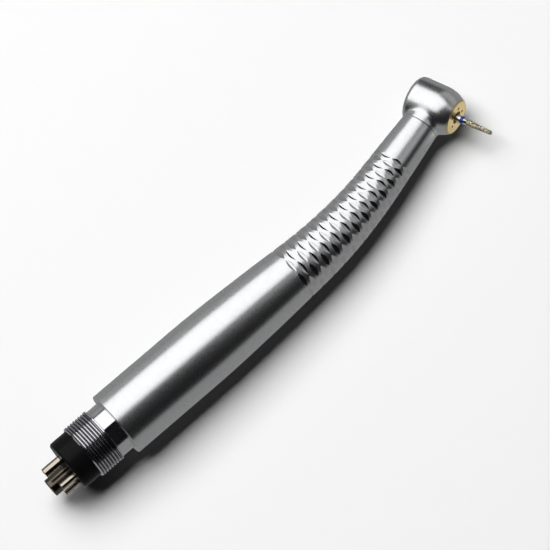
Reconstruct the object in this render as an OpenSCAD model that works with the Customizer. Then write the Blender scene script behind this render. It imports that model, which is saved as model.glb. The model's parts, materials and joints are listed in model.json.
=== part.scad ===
// High speed dental handpiece: four-hole hose connection, satin handle with a dimpled grip,
// push-button head with an air turbine on ball bearings, and a diamond bur.
// It lies on its side. The handle's axis starts at the hose end and runs towards +X, the bend
// lies flat and turns towards +Y, and the bur points towards -Y.

/* [Hose connection] */
// Outer diameter of the hose thread
thread_d = 12.9; // [12.8:0.1:13.2]
// Length of the threaded end
thread_len = 6; // [5:0.1:7]
// Distance between two thread crests
thread_pitch = 0.7; // [0.6:0.05:0.8]
// Diameter of the plain collar behind the thread
collar_d = 12.1; // [12:0.1:12.2]
// Length of the plain collar
collar_len = 3.2; // [2.5:0.1:4]
// Distance across the two wrench flats of the collar
collar_flats = 11.5; // [11:0.1:11.7]
// Diameter of the black tube holder
insert_d = 11.8; // [11.7:0.1:11.9]
// How far the black tube holder stands out of the thread
insert_len = 4.4; // [3.5:0.1:5.5]
// Outer diameter of the exhaust tube
exhaust_d = 4.2; // [4:0.1:4.3]
// How far the exhaust tube stands out of its holder
exhaust_len = 5.5; // [4:0.1:7]
// Outer diameter of the drive air tube
drive_d = 2.34; // [2:0.02:2.5]
// How far the drive air tube stands out of its holder
drive_len = 4.7; // [3:0.1:6]
// Outer diameter of the water tube and of the chip air tube
small_d = 1.56; // [1.4:0.02:1.6]
// How far the two small tubes stand out of their holder
small_len = 3.9; // [3:0.1:5]

/* [Handle] */
// Largest diameter of the handle
body_d = 15.2; // [15:0.1:15.4]
// Distance from the hose end to the corner of the bend, along the axis
bend_corner = 74.1; // [72:0.1:76]
// Distance from the corner to where the bend starts and ends
bend_half = 13; // [12:0.5:15]
// Angle of the bend
bend_angle = 14.5; // [12:0.5:17]
// Distance from the corner of the bend to the seam of the head
seam_from_corner = 28.2; // [27:0.1:30]
// Diameter of the handle at that seam
seam_d = 8.4; // [8.2:0.1:8.6]
// Thickness of the handle's wall
wall = 1.5; // [1.3:0.1:1.6]
// Sides of the handle's faceted skin
handle_sides = 40; // [32:4:48]

/* [Head] */
// Diameter of the head
head_d = 10.7; // [10.6:0.1:10.9]
// Distance from the neck's axis to the back of the head
head_back = 5.2; // [5.1:0.1:5.4]
// Distance from the neck's axis to the face of the head
head_face = 5.8; // [5.7:0.1:6]
// Angle between the front of the handle and the bur
head_angle = 85.8; // [84:0.1:90]
// Distance from the seam to the axis of the head
neck_len = 5.4; // [5.3:0.1:6]
// How far the push button travels
button_travel = 0.5; // [0.3:0.1:0.5]

/* [Bur] */
// Diameter of the bur's shank
bur_d = 1.6; // [1.59:0.01:1.6]
// Whole length of the bur
bur_len = 17; // [16.5:0.1:17]
// How far the bur stands out of the head
bur_out = 8.8; // [8.8:0.1:9]

/* [Hidden] */

$fn = 96;
eps = 0.01;

// The bend of the handle's axis: an arc that touches both straight stretches.
bend_start = bend_corner - bend_half;
bend_r = bend_half / tan(bend_angle / 2);
bend_arc = bend_r * bend_angle * PI / 180;
bend_end = bend_start + bend_arc;

// Stations, measured along the handle's axis from the hose end.
rim_at = thread_len + collar_len;
seam_at = bend_end + seam_from_corner - bend_half;
head_at = seam_at + neck_len;
socket_at = seam_at - 10;
manifold_at = socket_at + 0.1;
manifold_len = 3;
spigot_len = seam_at - manifold_at - manifold_len - 0.1;
sleeve_len = 11;
holder_end = 12;

// Diameter of the handle at a few stations; the stretches between them are smooth.
handle_profile = [
    [rim_at, body_d], [22, body_d - 0.04], [35, body_d - 0.12], [48, body_d - 1.1],
    [60, body_d - 2.44], [71, body_d - 3.64], [82, body_d - 4.9], [93, body_d - 5.86],
    [seam_at, seam_d]
];
rim_bevel = 0.3;

// Bores of the handle, and the parts that fill them.
rear_bore_d = 12.2;
socket_d = 6.84;
spigot_d = 6.8;
neck_bore_d = 5;

// Places of the four hose tubes around the handle's axis, as Y and Z.
exhaust_yz = [-0.08, -2.67];
drive_yz = [0.93, 2.32];
water_yz = [-3.46, 1.29];
chip_yz = [-3.5, -1.49];
tube_wall = 0.35;
thin_wall = 0.25;
// Inside its holder a tube is this much thinner, and its shoulder is let into the holder's face.
tube_step = 0.4;
tube_seat = 0.1;

// The hollow of the hose connection, and the angle of the collar's flats from the table.
connector_bore_d = insert_d - 1.9;
flats_turn = 126;

// Places of the three pipes inside the narrow part of the handle, as Y and Z.
drive_pipe_yz = [0.2, 1.5];
water_pipe_yz = [-1.3, -0.9];
chip_pipe_yz = [1.3, -0.9];
drive_pipe_d = 2.1;
small_pipe_d = 1.2;
pipes_gather_at = 40;
pipe_sides = 10;

// Head, measured from its back along the turbine's axis.
head_h = head_back + head_face;
back_round = 1.2;
shoulder_at = 6.4;
shoulder_r = 7.7;
chamber_d = 8.2;
chamber_end = 7.7;
seat_d = 6.5;

// Spray plate: a body seated in the head's face, and a thin lip that covers the edge of the seat.
plate_t = 0.8;
plate_lip_t = 0.25;
plate_body_d = 7.2;
spray_ring_r = 2.2;
spray_hole_d = 0.65;
plate_at = head_h - plate_t;
plate_lip_at = head_h - plate_lip_t;

// Ball bearings, 3.175 mm by 6.35 mm by 2.38 mm.
bearing_bore = 3.175;
bearing_od = 6.35;
bearing_w = 2.38;
inner_land_d = 4.1;
outer_land_d = 5.42;
ball_d = 0.96;
ball_pitch_r = (bearing_bore + bearing_od) / 4;
race_r = 0.52;
balls = 7;
cage_w = 1.1;
rear_bearing_at = 2.6;
front_bearing_at = 7.75;

// Push button and cap.
cap_h = 2.2;
cap_lip = 0.9;
button_d = 5;
button_proud = 0.25;
flange_d = 6.4;
flange_t = 0.22;
run_gap = 0.03;

// Turbine.
spindle_at = 2.35;
spindle_end = 10.55;
spindle_nose_d = 2.6;
chuck_d = 2.38;
impeller_at = 5.2;
impeller_w = 2.3;
impeller_d = 7.6;
hub_d = 4.4;
blades = 8;

// Bur, measured from the back of the head.
bur_tip = head_h + bur_out;
bur_at = bur_tip - bur_len;
band_at = head_h + 1.12;
band_w = 0.75;
diamond_at = head_h + 2.7;

// The handle's thick end and its head both rest on the table, so its axis slopes down a little.
nose_down = asin((body_d - head_d) / 2 / (head_at - rim_at));

function axis_turn(s) = s <= bend_start ? 0 : min((s - bend_start) / bend_r * 180 / PI, bend_angle);
function axis_point(s) =
    let (a = axis_turn(s), straight = max(s - bend_end, 0))
    [
        min(s, bend_start) + bend_r * sin(a) + straight * cos(a),
        bend_r * (1 - cos(a)) + straight * sin(a),
        0
    ];

// Smooth curve through the rows of a table of [station, value].
function slope(t, i) =
    let (a = t[max(i - 1, 0)], b = t[min(i + 1, len(t) - 1)]) (b[1] - a[1]) / (b[0] - a[0]);
function smooth(t, s, i = 0) =
    i < len(t) - 2 && s > t[i + 1][0] ? smooth(t, s, i + 1) :
    let (w = t[i + 1][0] - t[i][0], u = (s - t[i][0]) / w)
    t[i][1] * (1 - u) * (1 - u) * (1 + 2 * u) + t[i + 1][1] * u * u * (3 - 2 * u)
    + slope(t, i) * w * u * (1 - u) * (1 - u) - slope(t, i + 1) * w * u * u * (1 - u);
function handle_r(s) = smooth(handle_profile, s) / 2;

// One ring of points at a station of the handle's axis, round a place given as Y and Z.
function ring(s, r, yz = [0, 0], sides = handle_sides) =
    let (p = axis_point(s), a = axis_turn(s))
    [for (k = [0 : sides - 1])
        let (f = 360 * k / sides, y = yz[0] + r * cos(f))
        p + [-sin(a) * y, cos(a) * y, yz[1] + r * sin(f)]];

module lying() {
    rotate([0, nose_down, 0]) children();
}

// Places its children at a station of the handle's axis, with +Z along the axis.
module on_axis(s) {
    translate(axis_point(s)) rotate([0, 90, axis_turn(s)]) children();
}

// Places its children in the head, with +Z towards the bur and the head's back at zero.
module in_head() {
    translate(axis_point(head_at)) rotate([0, 90, bend_angle - head_angle])
        translate([0, 0, -head_back]) children();
}

module tube(od, id, h) {
    difference() {
        cylinder(d = od, h = h);
        translate([0, 0, -eps]) cylinder(d = id, h = h + 2 * eps);
    }
}

// A closed skin over a list of rings that all have the same number of points.
module skin(rings, closed = false) {
    n = len(rings[0]);
    m = len(rings);
    sides = [for (i = [0 : closed ? m - 1 : m - 2]) for (k = [0 : n - 1])
        let (a = i * n, b = (i + 1) % m * n, k1 = (k + 1) % n)
        [a + k, a + k1, b + k1, b + k]];
    ends = closed ? [] : [[for (k = [n - 1 : -1 : 0]) k], [for (k = [0 : n - 1]) (m - 1) * n + k]];
    polyhedron([for (r = rings) each r], concat(sides, ends));
}

// ---- Handle ----

module handle_skin() {
    inner_max = rear_bore_d / 2 - 0.1;
    body = [for (s = [rim_at + rim_bevel : 3 : seam_at - 1]) s];
    outer = concat([ring(rim_at, handle_r(rim_at) - rim_bevel)], [for (s = body) ring(s, handle_r(s))],
        [ring(seam_at, seam_d / 2)]);
    bore = concat([rim_at], [for (s = [rim_at + 6 : 6 : seam_at - 3]) s], [seam_at]);
    inner = [for (i = [len(bore) - 1 : -1 : 0]) ring(bore[i], min(handle_r(bore[i]) - wall, inner_max))];
    skin(concat(outer, inner), closed = true);
}

module handle_shell() {
    color("silver") lying() difference() {
        handle_skin();
        translate([rim_at - 1, 0, 0]) rotate([0, 90, 0]) cylinder(d = rear_bore_d, h = sleeve_len + 2);
        on_axis(socket_at) cylinder(d = socket_d, h = seam_at - socket_at + 1);
    }
}

module rear_connector() {
    depth = thread_pitch * 0.6;
    crest = thread_pitch * 0.12;
    grooves = floor((thread_len - 0.4) / thread_pitch);
    color("gainsboro") lying() rotate([0, 90, 0]) difference() {
        union() {
            cylinder(d = thread_d, h = thread_len - 0.3);
            cylinder(d = thread_d - 2 * depth, h = thread_len + 0.1);
            intersection() {
                translate([0, 0, thread_len]) cylinder(d = collar_d, h = collar_len);
                rotate([0, 0, flats_turn]) translate([-collar_d / 2, -collar_flats / 2, thread_len])
                    cube([collar_d, collar_flats, collar_len]);
            }
            translate([0, 0, rim_at]) cylinder(d = rear_bore_d - 0.04, h = sleeve_len);
        }
        for (i = [0 : grooves - 1]) translate([0, 0, 0.3 + i * thread_pitch]) rotate_extrude()
            polygon([
                [thread_d / 2 + eps, crest / 2], [thread_d / 2 - depth, thread_pitch / 2],
                [thread_d / 2 + eps, thread_pitch - crest / 2]
            ]);
        translate([0, 0, -1]) cylinder(d = connector_bore_d, h = 30);
        translate([0, 0, rim_at + 6]) rotate_extrude()
            translate([rear_bore_d / 2 - 0.6, 0]) square([1, 0.8]);
    }
}

module connector_o_ring() {
    color("dimgray") lying() rotate([0, 90, 0]) translate([0, 0, rim_at + 6.4]) rotate_extrude()
        translate([rear_bore_d / 2 - 0.31, 0]) circle(d = 0.54, $fn = 32);
}

module tube_hole(yz, d) {
    translate([-yz[1], yz[0], 0]) {
        translate([0, 0, -insert_len - 1]) cylinder(d = d, h = 1 + tube_seat);
        translate([0, 0, -insert_len - 1]) cylinder(d = d - tube_step, h = insert_len + holder_end + 2);
    }
}

module tube_holder() {
    chamfer = 0.35;
    color("#18181a") lying() rotate([0, 90, 0]) difference() {
        union() {
            translate([0, 0, -insert_len]) cylinder(d1 = insert_d - 2 * chamfer, d2 = insert_d, h = chamfer);
            translate([0, 0, chamfer - insert_len]) cylinder(d = insert_d, h = insert_len - chamfer);
            cylinder(d = connector_bore_d - 0.04, h = holder_end);
        }
        tube_hole(exhaust_yz, exhaust_d);
        tube_hole(drive_yz, drive_d);
        tube_hole(water_yz, small_d);
        tube_hole(chip_yz, small_d);
    }
}

module hose_tube(yz, d, length, wall_t) {
    whole = length + insert_len + holder_end;
    color("#c9bfa6") lying() translate([-insert_len - length, yz[0], yz[1]]) rotate([0, 90, 0]) difference() {
        union() {
            cylinder(d = d, h = length + tube_seat);
            cylinder(d = d - tube_step, h = whole);
        }
        translate([0, 0, -eps]) cylinder(d = d - 2 * wall_t, h = length - wall_t);
        cylinder(d = d - tube_step - 2 * wall_t, h = whole + eps);
    }
}

module exhaust_tube() {
    hose_tube(exhaust_yz, exhaust_d, exhaust_len, tube_wall);
}

module drive_air_tube() {
    hose_tube(drive_yz, drive_d, drive_len, tube_wall);
}

module water_tube() {
    hose_tube(water_yz, small_d, small_len, thin_wall);
}

module chip_air_tube() {
    hose_tube(chip_yz, small_d, small_len, thin_wall);
}

// A pipe that leaves a hose tube, eases in towards the axis and follows the bend to the neck.
module inner_pipe(from_yz, to_yz, d) {
    end = manifold_at + 1.5;
    stations = concat([holder_end + 0.01], [for (s = [holder_end + 4 : 4 : end - 2]) s], [end]);
    skin([for (s = stations)
        let (
            u = max(0, min((s - holder_end - 3) / (pipes_gather_at - holder_end - 3), 1)),
            yz = from_yz + (to_yz - from_yz) * u * u * (3 - 2 * u)
        )
        ring(s, d / 2, yz, pipe_sides)]);
}

module drive_air_pipe() {
    color("#b8b8bc") lying() inner_pipe(drive_yz, drive_pipe_yz, drive_pipe_d);
}

module water_pipe() {
    color("#b8b8bc") lying() inner_pipe(water_yz, water_pipe_yz, small_pipe_d);
}

module chip_air_pipe() {
    color("#b8b8bc") lying() inner_pipe(chip_yz, chip_pipe_yz, small_pipe_d);
}

module neck_manifold() {
    color("#c8a860") lying() on_axis(manifold_at) difference() {
        cylinder(d = spigot_d, h = manifold_len);
        for (p = [[drive_pipe_yz, drive_pipe_d], [water_pipe_yz, small_pipe_d], [chip_pipe_yz, small_pipe_d]])
            translate([-p[0][1], p[0][0], -eps]) {
                cylinder(d = p[1] + 0.04, h = 1.55);
                cylinder(d = p[1] * 0.5, h = manifold_len + 1);
            }
        translate([2.2, 0, -1]) cylinder(d = 1.4, h = manifold_len + 2);
    }
}

// ---- Head ----

function shoulder(h) = head_d / 2 - shoulder_r + sqrt(pow(shoulder_r, 2) - pow(h - shoulder_at, 2));

// Outline of the head from its back to a height, as radius and height.
function head_outline(top) = concat(
    [for (a = [90 : -9 : 0]) [head_d / 2 - back_round * (1 - cos(a)), back_round * (1 - sin(a))]],
    [for (i = [0 : 8]) let (h = shoulder_at + i / 8 * (top - shoulder_at)) [shoulder(h), h]]
);

module head_shell() {
    color("silver") lying() difference() {
        union() {
            difference() {
                in_head() rotate_extrude()
                    polygon(concat([[0, 0]], head_outline(plate_lip_at), [[0, plate_lip_at]]));
                on_axis(seam_at - 5) cylinder(d = head_d + 2, h = 5);
            }
            on_axis(seam_at) cylinder(d = seam_d, h = neck_len);
            on_axis(seam_at - spigot_len) cylinder(d = spigot_d, h = spigot_len + 1);
        }
        in_head() {
            translate([0, 0, -1]) cylinder(d = chamber_d, h = chamber_end + 1);
            cylinder(d = seat_d, h = plate_at + 1);
            translate([0, 0, plate_at]) cylinder(d = plate_body_d + 0.04, h = plate_t);
            translate([0, 0, front_bearing_at + 0.8]) cylinder(d = 7.2, h = 0.8);
        }
        on_axis(seam_at - spigot_len - 1) cylinder(d = neck_bore_d, h = spigot_len + 2);
        on_axis(seam_at - 1) {
            translate([-1.2, 0.9, 0]) cylinder(d = 1.3, h = neck_len);
            translate([1.1, 0.9, 0]) cylinder(d = 1.8, h = neck_len);
        }
    }
}

module spray_plate() {
    holes = 5;
    edge = 0.1;
    color("#d8b55a") lying() in_head() difference() {
        union() {
            translate([0, 0, plate_at]) cylinder(d = plate_body_d, h = plate_t - eps);
            rotate_extrude() polygon([
                [0, plate_lip_at], [shoulder(plate_lip_at), plate_lip_at],
                [shoulder(head_h - edge), head_h - edge], [shoulder(head_h) - edge, head_h], [0, head_h]
            ]);
        }
        cylinder(d = spindle_nose_d + 0.3, h = 20);
        for (i = [0 : holes - 1]) rotate([0, 0, (i + 0.5) * 360 / holes])
            translate([-spray_ring_r, 0, 0]) cylinder(d = spray_hole_d, h = 20, $fn = 32);
    }
}

module head_cap() {
    bore = chamber_d - 0.04;
    color("silver") lying() in_head() difference() {
        union() {
            cylinder(d1 = bore - 0.3, d2 = bore, h = 0.15);
            translate([0, 0, 0.15]) cylinder(d = bore, h = cap_h - 0.15);
        }
        translate([0, 0, -1]) cylinder(d = button_d + 2 * run_gap, h = cap_lip + 2);
        translate([0, 0, cap_lip]) cylinder(d = flange_d + 2 * run_gap, h = cap_h);
        for (a = [0 : 120 : 240]) rotate([0, 0, a + 30]) translate([3.3, 0, -eps]) cylinder(d = 0.6, h = 0.5);
    }
}

module push_button() {
    color("gainsboro") lying() in_head() {
        translate([0, 0, -button_proud]) cylinder(d1 = button_d - 0.7, d2 = button_d, h = 0.2);
        translate([0, 0, 0.2 - button_proud]) cylinder(d = button_d, h = button_proud + cap_lip);
        translate([0, 0, cap_lip + run_gap]) cylinder(d = flange_d, h = flange_t);
        cylinder(d = 1.8, h = spindle_at - button_travel - 0.08);
    }
}

module button_spring() {
    wire = 0.3;
    at = cap_lip + run_gap + flange_t + wire / 2 + 0.02;
    color("lightgray") lying() in_head() for (i = [0 : 2])
        translate([0, 0, at + i * 1.1 * wire])
            rotate_extrude() translate([2.75, 0]) circle(d = wire, $fn = 24);
}

module preload_washer() {
    color("lightgray") lying() in_head() translate([0, 0, cap_h + 0.02]) tube(chamber_d - 0.1, 4.4, 0.36);
}

module front_o_ring() {
    color("dimgray") lying() in_head() translate([0, 0, front_bearing_at + 1.2]) rotate_extrude()
        translate([(bearing_od + 7.2) / 4, 0]) circle(d = 0.4, $fn = 32);
}

module rear_o_ring() {
    color("dimgray") lying() in_head() translate([0, 0, rear_bearing_at + 1.2]) rotate_extrude()
        translate([(bearing_od + chamber_d) / 4, 0]) circle(d = 0.9, $fn = 32);
}

// ---- Ball bearings ----

module race_groove() {
    translate([0, 0, bearing_w / 2])
        rotate_extrude() translate([ball_pitch_r, 0]) circle(r = race_r, $fn = 48);
}

module outer_ring() {
    color("#b4b4b8") difference() {
        tube(bearing_od, outer_land_d, bearing_w);
        race_groove();
    }
}

module inner_ring() {
    color("#b4b4b8") difference() {
        tube(inner_land_d, bearing_bore, bearing_w);
        race_groove();
    }
}

module at_balls() {
    translate([0, 0, bearing_w / 2]) for (i = [0 : balls - 1])
        rotate([0, 0, i * 360 / balls]) translate([ball_pitch_r, 0, 0]) children();
}

module cage() {
    color("#8a6a3a") difference() {
        translate([0, 0, (bearing_w - cage_w) / 2]) tube(outer_land_d - 0.16, inner_land_d + 0.16, cage_w);
        at_balls() sphere(d = ball_d + 0.06, $fn = 32);
    }
}

module ball_set() {
    color("#d0d0d4") at_balls() sphere(d = ball_d, $fn = 32);
}

module at_front_bearing() {
    lying() in_head() translate([0, 0, front_bearing_at]) children();
}

module at_rear_bearing() {
    lying() in_head() translate([0, 0, rear_bearing_at]) children();
}

module front_bearing_outer_ring() {
    at_front_bearing() outer_ring();
}

module rear_bearing_outer_ring() {
    at_rear_bearing() outer_ring();
}

module front_bearing_inner_ring() {
    at_front_bearing() inner_ring();
}

module rear_bearing_inner_ring() {
    at_rear_bearing() inner_ring();
}

module front_bearing_cage() {
    at_front_bearing() cage();
}

module rear_bearing_cage() {
    at_rear_bearing() cage();
}

module front_bearing_balls() {
    at_front_bearing() ball_set();
}

module rear_bearing_balls() {
    at_rear_bearing() ball_set();
}

// ---- Turbine ----

module spindle() {
    nose_at = front_bearing_at + bearing_w;
    color("#c4c4c8") lying() in_head() difference() {
        union() {
            translate([0, 0, spindle_at]) cylinder(d = bearing_bore, h = nose_at - spindle_at);
            translate([0, 0, nose_at - eps]) cylinder(d = spindle_nose_d, h = spindle_end - nose_at + eps);
        }
        translate([0, 0, spindle_at - 1]) cylinder(d = chuck_d + 0.02, h = 20);
    }
}

module chuck() {
    color("#9c9ca0") lying() in_head() difference() {
        translate([0, 0, spindle_at]) cylinder(d = chuck_d, h = spindle_end - spindle_at - 0.1);
        translate([0, 0, bur_at - 0.05]) cylinder(d = bur_d + 0.06, h = 20);
        for (a = [0, 120, 240]) rotate([0, 0, a]) translate([0, -0.1, spindle_end - 3.5]) cube([3, 0.2, 5]);
    }
}

module impeller() {
    color("#a8a8ac") lying() in_head() translate([0, 0, impeller_at]) difference() {
        union() {
            cylinder(d = hub_d, h = impeller_w);
            intersection() {
                cylinder(d = impeller_d, h = impeller_w);
                for (i = [0 : blades - 1]) rotate([0, 0, i * 360 / blades])
                    translate([hub_d / 2 - 0.3, -0.9, 0]) cube([3, 0.55, impeller_w]);
            }
        }
        translate([0, 0, -1]) cylinder(d = bearing_bore, h = impeller_w + 2);
    }
}

// ---- Bur ----

module bur_shank() {
    color("#c0c0c0") lying() in_head() {
        translate([0, 0, bur_at]) cylinder(d1 = bur_d - 0.3, d2 = bur_d, h = 0.2);
        translate([0, 0, bur_at + 0.2]) cylinder(d = bur_d, h = band_at - bur_at - 0.2);
        translate([0, 0, band_at]) cylinder(d = bur_d - 0.1, h = band_w);
        translate([0, 0, band_at + band_w]) cylinder(d1 = bur_d, d2 = 1.1, h = diamond_at - band_at - band_w);
    }
}

module bur_band() {
    color("#1c3fb0") lying() in_head() translate([0, 0, band_at]) tube(bur_d + 0.1, bur_d - 0.1, band_w);
}

module bur_diamond() {
    color("#a89c78") lying() in_head() translate([0, 0, diamond_at]) {
        cylinder(d1 = 1.44, d2 = 0.9, h = bur_tip - diamond_at - 0.2);
        translate([0, 0, bur_tip - diamond_at - 0.2]) cylinder(d1 = 0.9, d2 = 0.6, h = 0.2);
    }
}

handle_shell();
rear_connector();
connector_o_ring();
tube_holder();
exhaust_tube();
drive_air_tube();
water_tube();
chip_air_tube();
drive_air_pipe();
water_pipe();
chip_air_pipe();
neck_manifold();
head_shell();
spray_plate();
head_cap();
push_button();
button_spring();
preload_washer();
front_o_ring();
rear_o_ring();
front_bearing_outer_ring();
rear_bearing_outer_ring();
front_bearing_inner_ring();
rear_bearing_inner_ring();
front_bearing_cage();
rear_bearing_cage();
front_bearing_balls();
rear_bearing_balls();
spindle();
chuck();
impeller();
bur_shank();
bur_band();
bur_diamond();
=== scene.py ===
import json
import math
from itertools import product

import bmesh
import bpy
import numpy as np
from mathutils import Matrix, Vector


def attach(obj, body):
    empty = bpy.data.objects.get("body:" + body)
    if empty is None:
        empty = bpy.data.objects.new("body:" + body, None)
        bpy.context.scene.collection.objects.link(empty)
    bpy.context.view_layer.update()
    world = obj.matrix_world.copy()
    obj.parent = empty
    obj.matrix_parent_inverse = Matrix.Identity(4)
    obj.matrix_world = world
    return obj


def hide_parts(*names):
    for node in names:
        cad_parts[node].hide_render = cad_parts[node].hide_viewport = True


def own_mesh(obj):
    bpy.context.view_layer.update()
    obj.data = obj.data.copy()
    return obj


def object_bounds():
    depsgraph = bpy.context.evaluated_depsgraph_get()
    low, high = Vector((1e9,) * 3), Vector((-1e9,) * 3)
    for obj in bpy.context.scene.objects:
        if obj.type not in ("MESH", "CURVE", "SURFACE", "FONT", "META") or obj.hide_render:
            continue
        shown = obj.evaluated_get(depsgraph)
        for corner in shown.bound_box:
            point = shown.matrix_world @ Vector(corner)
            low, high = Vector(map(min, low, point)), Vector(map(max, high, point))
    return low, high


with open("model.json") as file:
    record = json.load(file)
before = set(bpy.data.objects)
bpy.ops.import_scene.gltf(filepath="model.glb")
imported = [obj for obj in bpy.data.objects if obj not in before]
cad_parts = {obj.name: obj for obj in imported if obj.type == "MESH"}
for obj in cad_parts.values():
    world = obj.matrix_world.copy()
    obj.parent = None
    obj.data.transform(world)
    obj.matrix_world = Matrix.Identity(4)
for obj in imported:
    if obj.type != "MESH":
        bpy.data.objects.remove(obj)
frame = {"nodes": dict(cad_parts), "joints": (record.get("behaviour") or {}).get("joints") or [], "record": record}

cad_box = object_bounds()
nodes = frame["nodes"]
record = frame["record"]
MM = 0.001
WHITE = (1, 1, 1, 1)


# ---- Frame: two sets of axes in which the pieces are drawn, in millimetres ----

def axes_at(origin, z_axis, x_hint):
    """A matrix from drawing axes in millimetres to the row frame in metres."""
    z = Vector(z_axis).normalized()
    y = z.cross(Vector(x_hint)).normalized()
    x = y.cross(z)
    turn = Matrix((x, y, z)).transposed().to_4x4()
    return Matrix.Translation(Vector(origin)) @ turn @ Matrix.Scale(MM, 4)


mounts = {m["name"]: m for m in record["mounts"]}
joints = {j["name"]: j for j in frame["joints"]}
hose = mounts["hose_thread"]
along = -Vector(hose["axis"])                     # from the hose end towards the head
side = Vector((0, 1, 0))                          # the bend turns this way
HANDLE = Matrix((along, side, along.cross(side))).transposed().to_4x4()
HANDLE = Matrix.Translation(Vector(hose["pos_m"])) @ HANDLE @ Matrix.Scale(MM, 4)
CONNECTOR = axes_at(hose["pos_m"], along, side)   # drawing z runs along the handle

# Head: drawing z runs from its back to the bur, with the back at zero.
TURBINE_MIDDLE = 6.35                             # the turbine joint's place above the head's back
turbine = joints["turbine_spin"]
to_bur = Vector(turbine["axis"])
head_back = Vector(turbine["pos_m"]) - to_bur * TURBINE_MIDDLE * MM
HEAD = axes_at(head_back, to_bur, along.cross(side))


# ---- Driving dimensions, in millimetres and degrees ----

RIM = 9.2                                         # tail edge of the handle
SEAM = 102.161                                    # joint between the handle and the head
BEND_CORNER, BEND_HALF, BEND_ANGLE = 74.1, 13.0, math.radians(14.5)
BODY_R, SEAM_R = 7.6, 4.2
BODY_PROFILE = [(RIM, 15.2), (22, 15.16), (35, 15.08), (48, 14.1), (60, 12.76), (71, 11.56),
                (82, 10.3), (93, 9.34), (SEAM, 8.4)]
REAR_BORE_R, REAR_BORE_LEN = 6.1, 11              # the bore that holds the connector's sleeve
SOCKET_R, SOCKET_AT, NECK_BORE_R = 3.42, SEAM - 10, 2.9
WALL, RIM_BEVEL = 1.5, 0.14

GRIP_START, GRIP_ROWS = 58.98, 22                 # first ring of dimples, and rings in all
GRIP_STEP_REAR, GRIP_STEP_FRONT = 1.59, 1.485     # from one ring to the next
DIMPLES_ROUND = 10
DIMPLE_TURN = math.radians(102.5)                 # one dimple of the first ring, from +Y towards the top
DIMPLE_HALF_ARC = math.radians(16.2)
DIMPLE_HALF_W, DIMPLE_DEPTH = 0.56, 0.2

HEAD_R, SHOULDER_AT, SHOULDER_R, BACK_ROUND = 5.35, 6.4, 7.7, 1.2
PLATE_AT, PLATE_LIP_AT, PLATE_SEAT_R = 10.2, 10.75, 3.62
CHAMBER_R, CHAMBER_END, SEAT_R = 4.1, 7.7, 3.25   # the turbine's chamber and the front bearing's seat
NECK_AT, NECK_LEN = 5.2, 5.4                      # where the neck leaves the head's axis, and its stub
HEAD_ANGLE = math.radians(85.8)                   # between the neck and the bur
FILLET = 0.8                                      # where the neck runs into the head

THREAD_R, THREAD_PITCH, THREAD_DEPTH, THREAD_END = 6.45, 0.7, 0.42, 5.93
THREAD_TURNS, THREAD_START = 9, math.radians(270)
THREAD_LEAD_IN, THREAD_LEAD_LEN = 0.15, 0.3       # how far the first crests are turned down, and how long
THREAD_FADE = 0.15                                # share of a turn in which the groove starts and ends
# The groove across one turn, as shares of its pitch and its depth.
GROOVE = [(0.0, 0.0), (0.16, 0.0), (0.36, 0.5), (0.47, 1.0), (0.53, 1.0), (0.64, 0.5), (0.84, 0.0)]
# Heights on an even helix, and where they are: the end turns are squeezed between the faces.
HELIX_HEIGHTS, THREAD_HEIGHTS = [0, 0.85, 5.55, 7], [0.05, 0.5, 5.2, 5.88]
COLLAR_R, COLLAR_FLATS, COLLAR_TURN = 6.05, 11.5, math.radians(128)
COLLAR_START, COLLAR_EDGE, COLLAR_BEVEL = 6.0, 0.1, 0.985
CONNECTOR_BORE_R, SLEEVE_END = 4.95, 20.2

HOLDER_FRONT, HOLDER_END = 4.4, 12                # the black holder, out of and into the connector
TUBE_SEAT, TUBE_STEP = 0.1, 0.1                   # a tube is thinner from just inside the holder's face
TUBE_WALLS = {"exhaust_tube": 0.35, "drive_air_tube": 0.35, "water_tube": 0.25, "chip_air_tube": 0.25}

BUR_R, BUR_TIP, BUR_LEN = 0.8, 19.8, 17.0
BAND_AT, BAND_W, BAND_GROOVE, DIAMOND_AT = 12.12, 0.75, 0.05, 13.7
GRIT = 0.045                                      # how far the grains stand out or lie back

BUTTON_R, BUTTON_BACK = 2.5, -0.25                # the button's face stands out of the head's back
BUTTON_FLANGE_R, BUTTON_FLANGE_AT, BUTTON_FLANGE_END = 3.2, 0.93, 1.15
BUTTON_STEM_R, BUTTON_STEM_END = 0.9, 1.77


# ---- Mesh helpers ----

def add_mesh(name, points, faces, place, materials, face_material=None, sharp_angle=30):
    """A smooth-shaded piece, put in the row frame, with edges above an angle in degrees kept sharp."""
    mesh = bpy.data.meshes.new(name)
    mesh.from_pydata([tuple(p) for p in points], [], [tuple(int(i) for i in f) for f in faces])
    mesh.transform(place)
    shape = bmesh.new()
    shape.from_mesh(mesh)
    bmesh.ops.recalc_face_normals(shape, faces=shape.faces)
    shape.to_mesh(mesh)
    shape.free()
    piece = bpy.data.objects.new(name, mesh)
    bpy.context.scene.collection.objects.link(piece)
    for m in materials:
        mesh.materials.append(m)
    if face_material is not None:
        mesh.polygons.foreach_set("material_index", np.asarray(face_material, np.int32))
    mesh.polygons.foreach_set("use_smooth", np.ones(len(mesh.polygons), bool))
    if sharp_angle:
        mesh.set_sharp_from_angle(angle=math.radians(sharp_angle))
    return piece


def turns(around):
    """Evenly spaced angles of a full turn."""
    return np.arange(around) / around * 2 * math.pi


def ring_faces(rings, around, closed=False):
    """Quads between rings of points that each have the same number of points."""
    i, k = np.meshgrid(np.arange(rings if closed else rings - 1), np.arange(around), indexing="ij")
    a, b, k1 = i * around, (i + 1) % rings * around, (k + 1) % around
    return np.stack([a + k, a + k1, b + k1, b + k], -1).reshape(-1, 4)


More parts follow.
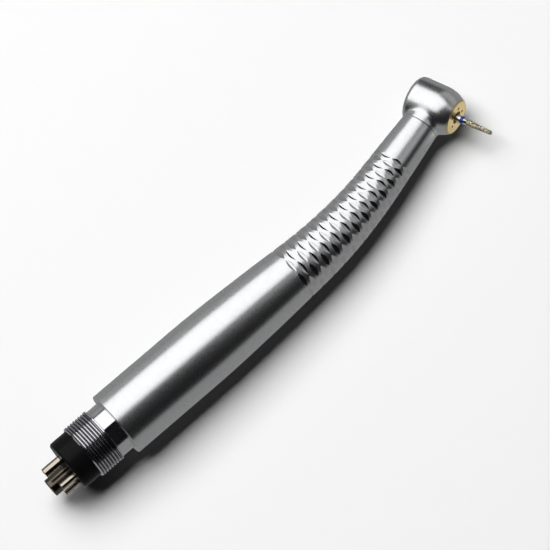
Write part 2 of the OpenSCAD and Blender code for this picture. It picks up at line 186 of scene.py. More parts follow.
def soften(profile, radius, steps=4, closed=True):
    """The same outline with each corner turned into a small arc. An open one keeps its two ends."""
    rounded = []
    n = len(profile)
    for i in range(n):
        if not closed and i in (0, n - 1):
            rounded.append(np.array(profile[i], float))
            continue
        p, a, b = (np.array(profile[j % n], float) for j in (i, i - 1, i + 1))
        cut = min(radius, np.linalg.norm(a - p) * 0.45, np.linalg.norm(b - p) * 0.45)
        start = p + (a - p) / np.linalg.norm(a - p) * cut
        end = p + (b - p) / np.linalg.norm(b - p) * cut
        for t in np.linspace(0, 1, steps):
            rounded.append((1 - t) ** 2 * start + 2 * t * (1 - t) * p + t * t * end)
    return rounded


def lathe(name, profile, place, material, radius, around):
    """A closed outline of (radius, height) corners, softened and turned round the drawing z axis."""
    outline = soften(profile, radius)
    turn = turns(around)
    points = [(r * math.cos(a), r * math.sin(a), h) for r, h in outline for a in turn]
    faces = ring_faces(len(outline), around, closed=True)
    return add_mesh(name, points, faces, place, [material], sharp_angle=50)


def solid_lathe(name, profile, place, material, radius, around):
    """An outline that starts and ends on the axis, softened and turned into a solid."""
    outline = soften(profile, radius, closed=False)[1:-1]
    turn = turns(around)
    points = [(0, 0, profile[0][1])]
    points += [(r * math.cos(a), r * math.sin(a), h) for r, h in outline for a in turn]
    points.append((0, 0, profile[-1][1]))
    faces = [tuple(int(i) + 1 for i in f) for f in ring_faces(len(outline), around)]
    last = len(points) - 1
    for k in range(around):
        k1 = (k + 1) % around
        faces.append((0, k1 + 1, k + 1))
        faces.append((last, last - around + k, last - around + k1))
    return add_mesh(name, points, faces, place, [material], sharp_angle=40)


def hermite(table, s):
    """Smooth curve through (station, value) rows, as the CAD handle has."""
    x, y = np.array(table, float).T
    row = np.arange(len(x))
    after, before = np.minimum(row + 1, len(x) - 1), np.maximum(row - 1, 0)
    slope = (y[after] - y[before]) / (x[after] - x[before])
    i = np.clip(np.searchsorted(x, s) - 1, 0, len(x) - 2)
    w = x[i + 1] - x[i]
    u = (s - x[i]) / w
    ends = y[i] * (1 - u) ** 2 * (1 + 2 * u) + y[i + 1] * u * u * (3 - 2 * u)
    return ends + slope[i] * w * u * (1 - u) ** 2 - slope[i + 1] * w * u * u * (1 - u)


BEND_START = BEND_CORNER - BEND_HALF
BEND_R = BEND_HALF / math.tan(BEND_ANGLE / 2)
BEND_END = BEND_START + BEND_R * BEND_ANGLE


def on_handle(s, radius, turn):
    """Points at stations along the bent axis, at a radius and a turn from +Y towards the top."""
    a = np.clip((s - BEND_START) / BEND_R, 0, BEND_ANGLE)
    past = np.maximum(s - BEND_END, 0)
    x = np.minimum(s, BEND_START) + BEND_R * np.sin(a) + past * math.cos(BEND_ANGLE)
    y = BEND_R * (1 - np.cos(a)) + past * math.sin(BEND_ANGLE)
    out = radius * np.cos(turn)
    return np.stack([x - np.sin(a) * out, y + np.cos(a) * out, radius * np.sin(turn)], -1)


# ---- Materials ----

def new_material(name):
    """A new material with its node tree and its shader."""
    m = bpy.data.materials.new(name)
    m.use_nodes = True
    tree = m.node_tree
    return m, tree, tree.nodes["Principled BSDF"]


def noise(tree, scale, detail=3.0, stretch=None):
    """Noise in the row frame. Scale is in features per metre."""
    where = tree.nodes.new("ShaderNodeTexCoord").outputs["Object"]
    if stretch:
        mapping = tree.nodes.new("ShaderNodeMapping")
        mapping.inputs["Scale"].default_value = stretch
        tree.links.new(where, mapping.inputs["Vector"])
        where = mapping.outputs["Vector"]
    n = tree.nodes.new("ShaderNodeTexNoise")
    n.inputs["Scale"].default_value = scale
    n.inputs["Detail"].default_value = detail
    tree.links.new(where, n.inputs["Vector"])
    return n.outputs["Fac"]


def ranged(tree, value, low, high):
    """A noise value, which is mostly between 0.3 and 0.7, spread over a range."""
    spread = tree.nodes.new("ShaderNodeMapRange")
    for name, number in (("From Min", 0.3), ("From Max", 0.7), ("To Min", low), ("To Max", high)):
        spread.inputs[name].default_value = number
    tree.links.new(value, spread.inputs["Value"])
    return spread.outputs["Result"]


def two_colours(tree, value, low, high):
    """A blend of two colours by a value from 0 to 1."""
    mix = tree.nodes.new("ShaderNodeMix")
    mix.data_type = "RGBA"
    mix.inputs["A"].default_value = (*low, 1)
    mix.inputs["B"].default_value = (*high, 1)
    tree.links.new(value, mix.inputs["Factor"])
    return mix.outputs["Result"]


def bump(tree, shader, height, distance):
    """Fine relief: a height value from 0 to 1 over a distance in metres."""
    b = tree.nodes.new("ShaderNodeBump")
    b.inputs["Strength"].default_value = 1.0
    b.inputs["Distance"].default_value = distance
    tree.links.new(height, b.inputs["Height"])
    tree.links.new(b.outputs["Normal"], shader.inputs["Normal"])


METAL_PATCHES = 900        # how finely a metal's colour drifts, in features per metre
DRAWN = (0.2, 1, 1)        # grain five times longer along the handle
CUT_FINE = (1, 4, 4)       # grain four times finer across the handle


def metal(name, dark, light, rough, grain, stretch=None):
    """Metal whose colour and roughness drift slightly, with a fine grain (features per metre, height)."""
    m, tree, shader = new_material(name)
    shader.inputs["Metallic"].default_value = 1.0
    drift = ranged(tree, noise(tree, METAL_PATCHES, stretch=stretch), 0, 1)
    tree.links.new(two_colours(tree, drift, dark, light), shader.inputs["Base Color"])
    wear = noise(tree, METAL_PATCHES * 3, stretch=stretch)
    tree.links.new(ranged(tree, wear, *rough), shader.inputs["Roughness"])
    bump(tree, shader, noise(tree, grain[0], detail=2.0, stretch=stretch), grain[1])
    return m


def black_plastic():
    m, tree, shader = new_material("black_plastic")
    shader.inputs["Specular IOR Level"].default_value = 0.06
    fine = noise(tree, 9000)
    black = two_colours(tree, ranged(tree, fine, 0, 1), (0.003, 0.003, 0.0033), (0.006, 0.006, 0.0064))
    tree.links.new(black, shader.inputs["Base Color"])
    tree.links.new(ranged(tree, noise(tree, 3000), 0.24, 0.34), shader.inputs["Roughness"])
    bump(tree, shader, fine, 0.000002)
    return m


def rubber():
    m, tree, shader = new_material("rubber")
    fine = noise(tree, 12000)
    black = two_colours(tree, fine, (0.01, 0.01, 0.01), (0.03, 0.03, 0.03))
    tree.links.new(black, shader.inputs["Base Color"])
    tree.links.new(ranged(tree, fine, 0.6, 0.75), shader.inputs["Roughness"])
    bump(tree, shader, fine, 0.000006)
    return m


def cage_resin():
    m, tree, shader = new_material("cage_resin")
    weave = noise(tree, 8000, stretch=(1, 1, 3))
    brown = two_colours(tree, weave, (0.22, 0.12, 0.05), (0.42, 0.27, 0.12))
    tree.links.new(brown, shader.inputs["Base Color"])
    tree.links.new(ranged(tree, weave, 0.45, 0.6), shader.inputs["Roughness"])
    bump(tree, shader, weave, 0.000005)
    return m


def band_blue():
    m, tree, shader = new_material("band_blue")
    shader.inputs["Coat Weight"].default_value = 0.25
    shader.inputs["Coat Roughness"].default_value = 0.08
    drift = noise(tree, 4000)
    blue = two_colours(tree, ranged(tree, drift, 0, 1), (0.006, 0.022, 0.20), (0.012, 0.04, 0.32))
    tree.links.new(blue, shader.inputs["Base Color"])
    tree.links.new(ranged(tree, drift, 0.22, 0.34), shader.inputs["Roughness"])
    bump(tree, shader, drift, 0.000003)
    return m


def diamond_grit():
    m, tree, shader = new_material("diamond_grit")
    shader.inputs["Metallic"].default_value = 0.85
    grains = noise(tree, 4200)
    gold = two_colours(tree, ranged(tree, grains, -0.5, 1.4), (0.06, 0.05, 0.025), (0.90, 0.83, 0.58))
    tree.links.new(gold, shader.inputs["Base Color"])
    tree.links.new(ranged(tree, grains, 0.45, 0.25), shader.inputs["Roughness"])
    bump(tree, shader, noise(tree, 12000), 0.000006)
    return m


# Each metal's dark and light colour, its roughness from and to, its grain and how the grain is stretched.
METALS = {
    "satin_steel": ((0.70, 0.71, 0.72), (0.75, 0.755, 0.76), (0.27, 0.30), (12000, 0.0000002)),
    # The dimples' cut: smoother and finer-grained, and painted darker than the satin as shade in the dimples.
    "bright_cut_painted_shade": ((0.60, 0.60, 0.61), (0.68, 0.68, 0.69), (0.10, 0.16), (9000, 0.000002), CUT_FINE),
    "chrome": ((0.70, 0.70, 0.72), (0.76, 0.76, 0.78), (0.12, 0.18), (6000, 0.0000008)),
    # The thread's crest and root: the chrome painted darker as shade in the thread, darkest in the root.
    "thread_root_painted_shade": ((0.18, 0.18, 0.19), (0.26, 0.26, 0.27), (0.25, 0.35), (6000, 0.000001)),
    "thread_crest_painted_shade": ((0.50, 0.50, 0.52), (0.58, 0.58, 0.60), (0.16, 0.24), (6000, 0.0000008)),
    "tube_metal": ((0.46, 0.40, 0.33), (0.56, 0.50, 0.42), (0.10, 0.18), (7000, 0.000001), DRAWN),
    "tube_shaded": ((0.11, 0.095, 0.075), (0.17, 0.15, 0.12), (0.16, 0.26), (7000, 0.000001), DRAWN),
    "pipe_steel": ((0.55, 0.55, 0.57), (0.64, 0.64, 0.66), (0.25, 0.35), (5000, 0.000003)),
    "manifold_brass": ((0.55, 0.40, 0.18), (0.68, 0.52, 0.26), (0.2, 0.3), (6000, 0.000002)),
    "spray_brass": ((0.80, 0.61, 0.26), (0.87, 0.69, 0.33), (0.26, 0.34), (16000, 0.0000006)),
    "cap_steel": ((0.66, 0.66, 0.67), (0.72, 0.72, 0.73), (0.22, 0.3), (16000, 0.000003)),
    "spring_steel": ((0.5, 0.5, 0.52), (0.6, 0.6, 0.62), (0.2, 0.3), (7000, 0.000002)),
    "bearing_steel": ((0.66, 0.66, 0.68), (0.72, 0.72, 0.74), (0.06, 0.12), (6000, 0.000001)),
    "turbine_steel": ((0.5, 0.5, 0.52), (0.6, 0.6, 0.62), (0.2, 0.3), (8000, 0.000002)),
    "bur_steel": ((0.72, 0.72, 0.73), (0.78, 0.78, 0.79), (0.08, 0.16), (9000, 0.0000015)),
}
MATERIALS = {name: metal(name, *look) for name, look in METALS.items()}
for make in (black_plastic, rubber, cage_resin, band_blue, diamond_grit):
    MATERIALS[make.__name__] = make()


# ---- Handle ----

AROUND = 320
CLEAR = 1.2         # plain surface kept between the dimples and the rings beside them
NARROW = 0.05       # half the width of the ring of lines where it has no dimple


def grip_rows():
    """Stations of the rings of dimples; the step shrinks a little towards the head."""
    steps = np.linspace(GRIP_STEP_REAR, GRIP_STEP_FRONT, GRIP_ROWS - 1)
    return GRIP_START + np.concatenate([[0], np.cumsum(steps)])


def dimple_half_width(row, turn):
    """Half the width of a ring's dimples at each turn: leaf shapes with pointed ends."""
    period = 2 * math.pi / DIMPLES_ROUND
    centre = DIMPLE_TURN + row % 2 * period / 2
    off = (turn - centre + period / 2) % period - period / 2
    return DIMPLE_HALF_W * np.maximum(1 - (off / DIMPLE_HALF_ARC) ** 2, 0)


def handle_lines(turn):
    """Lines round the handle as (station, radius, in a dimple after this line), each an array over turn."""
    even = np.ones_like(turn)
    lines = []

    def plain(s, r=None):
        radius = hermite(BODY_PROFILE, s) / 2 if r is None else r
        lines.append((s * even, radius * even, 0 * even))

    rim = [(RIM + 6, REAR_BORE_R), (RIM, REAR_BORE_R), (RIM, BODY_R - RIM_BEVEL), (RIM + RIM_BEVEL, BODY_R),
           (RIM + 6, BODY_R)]
    for s, r in soften(rim, 0.05, 3, closed=False)[1:-1]:
        plain(s, r)
    rows = grip_rows()
    for s in np.linspace(RIM + 0.9, rows[0] - CLEAR, 34):
        plain(s)
    lines += dimple_lines(rows, turn)
    for s in np.linspace(rows[-1] + CLEAR, SEAM - 0.25, 12):
        plain(s)
    socket = [(SEAM - 1, SEAM_R + 0.1), (SEAM - 0.12, SEAM_R), (SEAM, SEAM_R - 0.12), (SEAM, SOCKET_R),
              (SOCKET_AT, SOCKET_R), (SOCKET_AT, NECK_BORE_R)]
    for s, r in soften(socket, 0.05, 3, closed=False)[1:]:
        plain(s, r)
    inner_r = REAR_BORE_R - 0.1
    for s in np.linspace(SOCKET_AT - 1, RIM + REAR_BORE_LEN + 3, 12):
        plain(s, min(hermite(BODY_PROFILE, s) / 2 - WALL, inner_r))
    plain(RIM + REAR_BORE_LEN + 0.2, inner_r)
    plain(RIM + REAR_BORE_LEN, REAR_BORE_R)
    return lines


def dimple_lines(rows, turn):
    """The lines that follow the edges and the floors of the dimples, ring after ring."""
    lines = []
    for row, s0 in enumerate(rows):
        half = dimple_half_width(row, turn)
        line_half = np.maximum(half, NARROW)
        if row:
            gap = s0 - line_half - before
            for t in (1 / 3, 2 / 3):
                s = before + t * gap
                lines.append((s, hermite(BODY_PROFILE, s) / 2, 0 * turn))
        for t in np.linspace(-1, 1, 7):
            s = s0 + t * line_half
            inside = np.where(half > 0, np.abs(s - s0) / np.maximum(half, 1e-6), 1)
            depth = DIMPLE_DEPTH * half / DIMPLE_HALF_W * np.maximum(1 - inside ** 1.7, 0)
            cut = (half > NARROW * 0.5) & (t < 0.99)
            lines.append((s, hermite(BODY_PROFILE, s) / 2 - depth, cut * 1.0))
        before = s0 + line_half
    return lines


def make_handle():
    """The grip and the bent neck in satin steel, with smoother cuts where the dimples are, coloured darker than
    the satin as painted shade.
    """
    turn = turns(AROUND)
    lines = handle_lines(turn)
    points = np.concatenate([on_handle(s, r, turn) for s, r, cut in lines])
    faces = ring_faces(len(lines), AROUND, closed=True)
    cut = np.stack([c for s, r, c in lines]) > 0.5
    in_dimple = (cut | np.roll(cut, -1, 1)).reshape(-1)
    materials = [MATERIALS["satin_steel"], MATERIALS["bright_cut_painted_shade"]]
    piece = add_mesh("handle_body", points, faces, HANDLE, materials, face_material=in_dimple, sharp_angle=22)
    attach(piece, "handpiece")
    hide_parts("handle_shell")


# ---- Head ----

def head_field(p):
    """Signed distance to the head, in its drawing axes: negative in the metal."""
    radius, h = np.hypot(p[:, 0], p[:, 1]), p[:, 2]
    drop = SHOULDER_R - np.sqrt(np.maximum(SHOULDER_R ** 2 - np.maximum(h - SHOULDER_AT, 0) ** 2, 0))
    outside = round_both(radius - HEAD_R + drop, -h, BACK_ROUND)
    neck_turn = HEAD_ANGLE - math.pi / 2
    nx, nz = math.cos(neck_turn), math.sin(neck_turn)
    # The neck runs from the head's axis back towards the handle, along drawing +Y.
    q = p - np.array([0, 0, NECK_AT])
    run = q[:, 1] * nx + q[:, 2] * nz
    rest = q[:, 2] * nx - q[:, 1] * nz
    neck = np.maximum(np.hypot(p[:, 0], rest) - SEAM_R, -run)
    body = smooth_min(outside, neck, FILLET)
    body = round_both(body, run - NECK_LEN, radius=0.1)
    body = round_both(body, h - PLATE_LIP_AT, radius=0.03)
    chamber = np.maximum(radius - CHAMBER_R, h - CHAMBER_END)
    seat = np.maximum(radius - PLATE_SEAT_R, PLATE_AT - h)
    hollow = np.minimum(np.minimum(chamber, radius - SEAT_R), seat)
    return round_both(body, -hollow, radius=0.12)


def smooth_min(a, b, k):
    """What is inside either field, with a fillet of about size k between them."""
    blend = np.maximum(k - np.abs(a - b), 0) / k
    return np.minimum(a, b) - blend ** 3 * k / 6


def round_both(a, b, radius):
    """What is inside both fields, with the edge between them rounded."""
    edge = np.hypot(np.maximum(a + radius, 0), np.maximum(b + radius, 0))
    return np.minimum(np.maximum(a, b), -radius) + edge


def slope_of(field, p):
    """The field's gradient at each point."""
    step = 0.01
    out = np.empty_like(p)
    for i in range(3):
        d = np.zeros(3)
        d[i] = step
        out[:, i] = (field(p + d) - field(p - d)) / (2 * step)
    return out


def surface_net(field, low, high, step):
    """A mesh of the surface where the field is zero: one point in each mixed cell, moved onto it."""
    ticks = [np.arange(a, b + step, step) for a, b in zip(low, high)]
    grid = np.stack(np.meshgrid(*ticks, indexing="ij"), -1)
    inside = (field(grid.reshape(-1, 3)) < 0).reshape(grid.shape[:3])
    corner = [inside[i:inside.shape[0] - 1 + i, j:inside.shape[1] - 1 + j, k:inside.shape[2] - 1 + k]
              for i, j, k in product((0, 1), repeat=3)]
    count = np.sum(corner, axis=0)
    mixed = (count > 0) & (count < 8)
    number = np.full(mixed.shape, -1)
    number[mixed] = np.arange(mixed.sum())
    points = grid[:-1, :-1, :-1][mixed] + step / 2
    faces = []
    for axis in range(3):
        u, v = (axis + 1) % 3, (axis + 2) % 3
        a, b = np.moveaxis(inside, axis, 0)[:-1], np.moveaxis(inside, axis, 0)[1:]
        at = np.argwhere(np.moveaxis(a != b, 0, axis))
        enters = np.moveaxis(a, 0, axis)[tuple(at.T)]
        quads = []
        for du, dv in ((1, 1), (0, 1), (0, 0), (1, 0)):
            cell = at.copy()
            cell[:, u] -= du
            cell[:, v] -= dv
            quads.append(number[tuple(cell.T)])
        quads = np.stack(quads, 1)
        quads[~enters] = quads[~enters][:, ::-1]
        faces.append(quads)
    faces = np.concatenate(faces)
    for _ in range(8):
        points = relax(onto(field, points), faces, 0.35)
    for _ in range(3):
        points = onto(field, points)
    return points, faces


def onto(field, points):
    """Moves each point along the field's slope, to where the field should be zero."""
    slope = slope_of(field, points)
    return points - (field(points) / np.maximum((slope ** 2).sum(1), 0.2))[:, None] * slope


def relax(points, faces, share):
    """Moves each point part of the way to the middle of its neighbours."""
    total, count = np.zeros_like(points), np.zeros(len(points))
    for i in range(4):
        a, b = faces[:, i], faces[:, (i + 1) % 4]
        np.add.at(total, a, points[b])
        np.add.at(total, b, points[a])
        np.add.at(count, a, 1)
        np.add.at(count, b, 1)
    return points + (total / np.maximum(count, 1)[:, None] - points) * share


def make_head():
    """The head with the stub of its neck; its shading follows the field's slope."""
    room = 0.5
    low = (-HEAD_R - room, -HEAD_R - room, -room)
    high = (HEAD_R + room, NECK_LEN + 2 * room, PLATE_LIP_AT + room)
    points, faces = surface_net(head_field, low, high, step=0.16)
    piece = add_mesh("head_body", points, faces, HEAD, [MATERIALS["satin_steel"]], sharp_angle=None)
    slope = slope_of(head_field, points)
    slope /= np.linalg.norm(slope, axis=1)[:, None]
    turn = HEAD.to_3x3().normalized()
    piece.data.normals_split_custom_set_from_vertices([tuple(turn @ Vector(n)) for n in slope])
    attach(piece, "handpiece")
    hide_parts("head_shell")


# ---- Hose connection ----

CHROME, SHADED_ROOT, SHADED_CREST = range(3)      # the connector's surfaces, as places in its list of materials; crest and root are the chrome painted darker as shade


def thread_helix(around):
    """The thread as one strip of lines wound round the axis: points, faces and each face's surface."""
    lines, steps = len(GROOVE), THREAD_TURNS * around + 1
    n = np.arange(steps)
    fade = np.clip(np.minimum(n, steps - 1 - n) / (around * THREAD_FADE), 0, 1)
    points = []
    for part, deep in GROOVE:
        z = np.interp(THREAD_PITCH * (n / around + part), HELIX_HEIGHTS, THREAD_HEIGHTS)
        lead_in = np.clip((THREAD_LEAD_LEN - z) / THREAD_LEAD_LEN, 0, 1) * THREAD_LEAD_IN
        r = THREAD_R - lead_in - THREAD_DEPTH * deep * fade * fade * (3 - 2 * fade)
        a = THREAD_START + 2 * math.pi * n / around
        points.append(np.stack([r * np.cos(a), r * np.sin(a), z], -1))
    points = np.stack(points, 1).reshape(-1, 3)
    # Faces deep in the groove get the darkest painted shade.
    across = (SHADED_CREST, SHADED_CREST, SHADED_ROOT, SHADED_ROOT, SHADED_ROOT, SHADED_CREST)
    faces, surface = [], []
    for i in range(steps - 1):
        for j in range(lines):
            a, b = i * lines + j, (i + 1) * lines + j
            if j < lines - 1:
                faces.append((a, b, b + 1, a + 1))
                surface.append(across[j])
            elif i + 1 + around < steps:
                faces.append((a, b, (i + 1 + around) * lines, (i + around) * lines))
                surface.append(SHADED_CREST)
    return points, faces, surface


def make_connector():
    """The chrome thread, its collar with two flats, and the sleeve inside the handle."""
    around = 192
    turn = THREAD_START + turns(around)
    points, faces, surface = thread_helix(around)
    count = len(points)

    def circle(r, z):
        return np.stack([r * np.cos(turn), r * np.sin(turn), z + 0 * turn], -1)

    def collar(scale, z):
        x, y = scale * collar_outline(turn).T
        return np.stack([x, y, z + 0 * turn], -1)

    def strip(first, second):
        """Faces between two closed lines of points."""
        for k in range(around):
            k1 = (k + 1) % around
            faces.append((first[k], first[k1], second[k1], second[k]))

    front = [circle(CONNECTOR_BORE_R, SLEEVE_END), circle(CONNECTOR_BORE_R, 0.08),
             circle(CONNECTOR_BORE_R + 0.08, 0), circle(THREAD_R - 0.3, 0), circle(THREAD_R - 0.2, 0.02)]
    neck_r, sleeve_r = THREAD_R - THREAD_DEPTH, REAR_BORE_R - 0.02
    rear = [circle(THREAD_R, THREAD_END - 0.03), circle(THREAD_R - 0.04, THREAD_END),
            circle(neck_r, THREAD_END + 0.01), circle(neck_r, COLLAR_START),
            collar(COLLAR_BEVEL, COLLAR_START), collar(1.0, COLLAR_START + COLLAR_EDGE),
            collar(1.0, RIM - COLLAR_EDGE), collar(1.0, RIM + 0.3),
            circle(sleeve_r, RIM + 0.35), circle(sleeve_r, SLEEVE_END)]
    points = np.concatenate([points, *front, *rear])
    index = count + np.arange(len(front + rear) * around).reshape(-1, around)
    front, rear = index[:len(front)], index[len(front):]
    # The first turn's lower line and the last turn's upper line meet the plain circles beside them.
    lines = len(GROOVE)
    first_line = np.arange(around + 1) * lines
    last_line = (np.arange(around + 1) + (THREAD_TURNS - 1) * around) * lines + lines - 1
    for a, b in zip(front, front[1:]):
        strip(a, b)
    for k in range(around):
        faces.append((front[-1][k], front[-1][(k + 1) % around], first_line[k + 1], first_line[k]))
    for k in range(around):
        faces.append((last_line[k], last_line[k + 1], rear[0][(k + 1) % around], rear[0][k]))
    for a, b in zip(rear, rear[1:]):
        strip(a, b)
    strip(rear[-1], front[0])
    surface += [CHROME] * (len(faces) - len(surface))
    materials = [MATERIALS[name] for name in ("chrome", "thread_root_painted_shade", "thread_crest_painted_shade")]
    piece = add_mesh("hose_connector", points, faces, CONNECTOR, materials, face_material=surface,
                     sharp_angle=24)
    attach(piece, "handpiece")
    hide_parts("rear_connector")


def collar_outline(turn):
    """A circle cut by two flats, as one point for each given angle."""
    flat = np.abs(np.cos(turn - COLLAR_TURN))
    r = np.minimum(COLLAR_R, COLLAR_FLATS / 2 / np.maximum(flat, 1e-6))
    return np.stack([r * np.cos(turn), r * np.sin(turn)], -1)


def make_hose_tubes():
    """The four tubes, each placed by the mount at its free end and reaching through the holder."""
    for node, wall in TUBE_WALLS.items():
        mount = mounts[node + "_end"]
        radius, length = mount["dims"]["r_mm"], mount["dims"]["length_mm"]
        place = axes_at(mount["pos_m"], along, side)
        low, seat, end = -length / 2, length / 2 + TUBE_SEAT, length / 2 + HOLDER_FRONT + HOLDER_END
        profile = [(radius - wall, low), (radius, low), (radius, seat), (radius - TUBE_STEP, seat),
                   (radius - TUBE_STEP, end), (radius - wall, end)]
        # The exhaust tube takes a darker copy of the tube metal: painted shade from the tubes above it.
        paint = MATERIALS["tube_shaded" if node == "exhaust_tube" else "tube_metal"]
        piece = lathe(node + "_wall", profile, place, paint, radius=0.09, around=72)
        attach(piece, "handpiece")
        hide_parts(node)


# ---- Bur ----

def make_bur():
    """The shank with a groove for its colour band, the band, and the diamond end."""
    tail, band_end, groove_r = BUR_TIP - BUR_LEN, BAND_AT + BAND_W, BUR_R - BAND_GROOVE
    shank = [(0.0, tail), (BUR_R - 0.15, tail), (BUR_R, tail + 0.2), (BUR_R, BAND_AT), (groove_r, BAND_AT),
             (groove_r, band_end), (BUR_R, band_end), (groove_r, band_end + 0.15),
             (0.55, DIAMOND_AT - 0.05), (0.5, DIAMOND_AT), (0.0, DIAMOND_AT)]
    band_r = BUR_R + 0.05
    band = [(groove_r, BAND_AT), (band_r, BAND_AT), (band_r, band_end), (groove_r, band_end)]
    parts = [
        ("bur_shank", "bur_steel", solid_lathe("bur_shaft", shank, HEAD, MATERIALS["bur_steel"], 0.05, 64)),
        ("bur_band", "band_blue", lathe("bur_ring", band, HEAD, MATERIALS["band_blue"], 0.03, 64)),
        ("bur_diamond", "diamond_grit", diamond_coat()),
    ]
    for node, slot, piece in parts:
        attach(piece, "bur")
        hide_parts(node)


def diamond_coat():
    """The tapered working end with grains of grit standing out of it."""
    rng = np.random.default_rng(7)
    length = BUR_TIP - DIAMOND_AT
    stations = np.concatenate([[0], np.linspace(0.08, length - 0.1, 56), [length]])
    taper = [(0, 0.5), (0.1, 0.68), (length - 0.2, 0.42), (length, 0.26)]
    base = np.interp(stations, *zip(*taper))
    around = 44
    grain = rng.uniform(-1, 1, (len(stations), around))
    radius = base[:, None] + GRIT * grain * np.minimum(1, 6 * np.abs(grain) ** 2)
    turn = (np.arange(around) + rng.uniform(-0.3, 0.3, grain.shape)) / around * 2 * math.pi
    points = np.stack([radius * np.cos(turn), radius * np.sin(turn),
                       DIAMOND_AT + stations[:, None] + 0 * radius], -1).reshape(-1, 3)
    faces = [tuple(f) for f in ring_faces(len(stations), around)]
    last = (len(stations) - 1) * around
    points = np.concatenate([points, [[0, 0, DIAMOND_AT], [0, 0, BUR_TIP]]])
    for k in range(around):
        k1 = (k + 1) % around
        faces.append((len(points) - 2, k1, k))
        faces.append((len(points) - 1, last + k, last + k1))
    return add_mesh("bur_coat", points, faces, HEAD, [MATERIALS["diamond_grit"]], sharp_angle=8)


# ---- Push button ----

def make_button():
    """The push button: a ringed face, a flange behind the head cap and a short stem."""
    back, r = BUTTON_BACK, BUTTON_R
    profile = [(0.0, back + 0.02), (0.9, back), (1.0, back + 0.05), (1.9, back + 0.06), (2.0, back),
               (r - 0.12, back + 0.03), (r, back + 0.16), (r, BUTTON_FLANGE_AT),
               (BUTTON_FLANGE_R, BUTTON_FLANGE_AT), (BUTTON_FLANGE_R, BUTTON_FLANGE_END),
               (BUTTON_STEM_R, BUTTON_FLANGE_END), (BUTTON_STEM_R, BUTTON_STEM_END), (0.0, BUTTON_STEM_END)]
    piece = solid_lathe("push_button_body", profile, HEAD, MATERIALS["cap_steel"], 0.06, 96)
    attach(piece, "button")
    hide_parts("push_button")


def paint_cad_nodes():
    """Every CAD node gets the material of its slot, so that the pieces inside are painted too."""
    for part in record["subparts"]:
        node = nodes[part["node"]]
        node.data.materials.clear()
        node.data.materials.append(MATERIALS[part["material_slot"]])


def compress_button_spring():
    """Gives the button spring a mesh of its own, which is not shortened by the button's travel."""
    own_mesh(nodes["button_spring"])


# ---- Stage ----

FLOOR_HALF = 3.0
FLOOR_MIDDLE = (0.055, 0, -0.0083)
FLOOR_IN_METAL = 0.29                   # brightness of the floor as the metal mirrors it
FLOOR_IN_METAL_TO = 0.055               # how far that floor reaches on the bur's side
BRIGHT_SPOT = (0.113, -0.001, -0.0077)  # the brighter place that the spray plate mirrors
BRIGHT_SPOT_IN_METAL = 0.7


def distance_from(tree, place):
    """How far each point of the floor is from a place, in metres."""
    where = tree.nodes.new("ShaderNodeTexCoord").outputs["Object"]
    away = tree.nodes.new("ShaderNodeVectorMath")
    away.operation = "DISTANCE"
    away.inputs[1].default_value = place
    tree.links.new(where, away.inputs[0])
    return away.outputs["Value"]


def falloff(tree, value, start, end, at_start, at_end):
    """A smooth change from one level to another as a value goes from start to end."""
    change = tree.nodes.new("ShaderNodeMapRange")
    change.interpolation_type = "SMOOTHSTEP"
    for name, number in (("From Min", start), ("From Max", end), ("To Min", at_start), ("To Max", at_end)):
        change.inputs[name].default_value = number
    tree.links.new(value, change.inputs["Value"])
    return change.outputs["Result"]


def floor_paint(name):
    """Matt white floor that glows a little far out, where the lamps no longer reach."""
    m, tree, shader = new_material(name)
    shader.inputs["Base Color"].default_value = (0.8, 0.8, 0.8, 1)
    shader.inputs["Roughness"].default_value = 0.9
    shader.inputs["Specular IOR Level"].default_value = 0.1
    shader.inputs["Emission Color"].default_value = WHITE
    glow = falloff(tree, distance_from(tree, FLOOR_MIDDLE), 0.25, 1.0, 0, 0.85)
    tree.links.new(glow, shader.inputs["Emission Strength"])
    return m


def floor_glow(name):
    """Floor that glows an even grey with one bright spot, also where the object's shadow falls.

    Seen from the white floor by way of the metal it is weaker, which keeps that shadow dark.
    """
    m, tree, shader = new_material(name)
    shader.inputs["Base Color"].default_value = (0, 0, 0, 1)
    shader.inputs["Specular IOR Level"].default_value = 0
    shader.inputs["Emission Color"].default_value = WHITE
    away = distance_from(tree, BRIGHT_SPOT)
    level = falloff(tree, away, 0.003, 0.010, BRIGHT_SPOT_IN_METAL, FLOOR_IN_METAL)
    path = tree.nodes.new("ShaderNodeLightPath")
    direct = tree.nodes.new("ShaderNodeMapRange")
    direct.inputs["To Min"].default_value = 1
    direct.inputs["To Max"].default_value = 0.25
    tree.links.new(path.outputs["Diffuse Depth"], direct.inputs["Value"])
    shown = tree.nodes.new("ShaderNodeMath")
    shown.operation = "MULTIPLY"
    tree.links.new(direct.outputs["Result"], shown.inputs[0])
    tree.links.new(level, shown.inputs[1])
    tree.links.new(shown.outputs["Value"], shader.inputs["Emission Strength"])
    return m


def make_floor():
    """A white floor, and a grey one in the same place that only mirror reflections see."""
    level, half = cad_box[0][2], FLOOR_HALF
    for name, material, near in (("floor", floor_paint("floor"), -half),
                                 ("floor_mirrored", floor_glow("floor_mirrored"), -FLOOR_IN_METAL_TO)):
        corners = [(-half, near, level), (half, near, level), (half, half, level), (-half, half, level)]
        floor = add_mesh(name, corners, [(0, 1, 2, 3)], Matrix.Identity(4), [material])
        seen = name == "floor"
        floor.visible_camera = seen
        floor.visible_diffuse = seen
        floor.visible_glossy = not seen
        floor.visible_transmission = seen
        floor.visible_shadow = False


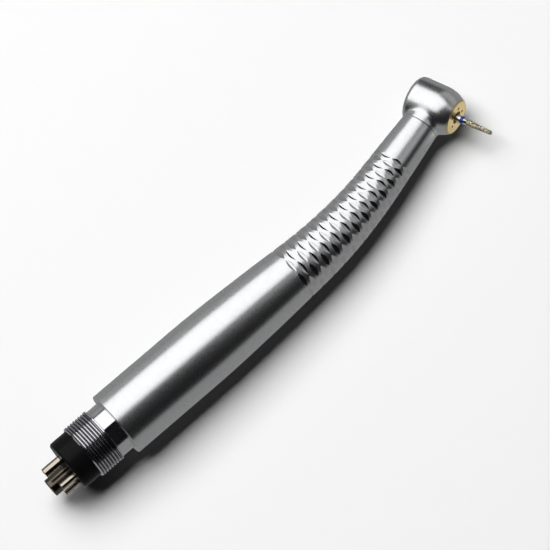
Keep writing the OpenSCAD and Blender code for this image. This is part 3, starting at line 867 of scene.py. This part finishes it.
def area_light(name, centre, look_at, size, power):
    """A rectangular lamp in metres and watts, which the camera doesn't see."""
    light = bpy.data.lights.new(name, "AREA")
    light.shape = "RECTANGLE"
    light.size, light.size_y = size
    light.energy = power
    lamp = bpy.data.objects.new(name, light)
    bpy.context.scene.collection.objects.link(lamp)
    lamp.location = centre
    lamp.rotation_euler = (Vector(look_at) - Vector(centre)).to_track_quat("-Z", "Y").to_euler()
    lamp.visible_camera = False
    return lamp


def lamp_round(name, angle, distance, size, power):
    """A lamp at an angle round the handle's axis, facing the handle: 0 is towards +Y, 90 overhead."""
    a = math.radians(angle)
    middle = Vector((0.05, 0, 0))
    centre = middle + distance * Vector((0, math.cos(a), math.sin(a)))
    return area_light(name, centre, middle, size, power)


def make_world():
    """White where the camera looks past the floor, and nearly black for everything else."""
    world = bpy.data.worlds.new("studio")
    bpy.context.scene.world = world
    world.use_nodes = True
    tree = world.node_tree
    dark = tree.nodes["Background"]
    dark.inputs["Color"].default_value = (0.006, 0.006, 0.007, 1)
    white = tree.nodes.new("ShaderNodeBackground")
    white.inputs["Color"].default_value = WHITE
    path = tree.nodes.new("ShaderNodeLightPath")
    mix = tree.nodes.new("ShaderNodeMixShader")
    out = tree.nodes["World Output"]
    tree.links.new(path.outputs["Is Camera Ray"], mix.inputs["Fac"])
    tree.links.new(dark.outputs["Background"], mix.inputs[1])
    tree.links.new(white.outputs["Background"], mix.inputs[2])
    tree.links.new(mix.outputs["Shader"], out.inputs["Surface"])


def make_lights():
    """Lamps that only mirror-like reflections show, and one key light for the floor and the shadow."""
    target = (0.1, 0, 0)
    reflected = [
        lamp_round("softbox", 71, 1.2, (1.8, 1.75), 14),
        area_light("side", (0.68, -0.68, 0.76), target, (0.4, 0.8), 0.5),
        area_light("far_end", (1.3, 0.0, 0.5), target, (1.6, 0.9), 1.7),
        area_light("near_end", (-0.85, 0.6, 0.65), target, (0.9, 0.8), 0.7),
        lamp_round("fill", 15, 1.3, (2.0, 0.6), 1.2),
    ]
    for lamp in reflected:
        lamp.visible_diffuse = False
    key = lamp_round("key", 67, 1.3, (1.2, 1.2), 27)
    key.visible_glossy = False


def make_camera():
    """The photo's view: angles in degrees, the place aimed at and the distance in metres, the lens in mm."""
    azimuth, elevation, roll = (math.radians(a) for a in (-15.146, 62.782, -27.554))
    aim, distance = Vector((0.056014, 0.002331, -0.000961)), 0.82601
    back = Vector((math.sin(azimuth) * math.cos(elevation), -math.cos(azimuth) * math.cos(elevation),
                   math.sin(elevation)))
    right = Vector((math.cos(azimuth), math.sin(azimuth), 0))
    up = back.cross(right)
    x = right * math.cos(roll) + up * math.sin(roll)
    y = up * math.cos(roll) - right * math.sin(roll)
    data = bpy.data.cameras.new("camera")
    data.sensor_width = 36
    data.lens = 252.94
    camera = bpy.data.objects.new("camera", data)
    bpy.context.scene.collection.objects.link(camera)
    turn = Matrix((x, y, back)).transposed().to_4x4()
    camera.matrix_world = Matrix.Translation(aim + back * distance) @ turn
    bpy.context.scene.camera = camera


paint_cad_nodes()
compress_button_spring()
make_handle()
make_head()
make_connector()
make_hose_tubes()
make_bur()
make_button()
make_floor()
make_world()
make_lights()
make_camera()
bpy.context.scene.view_settings.view_transform = "Standard"
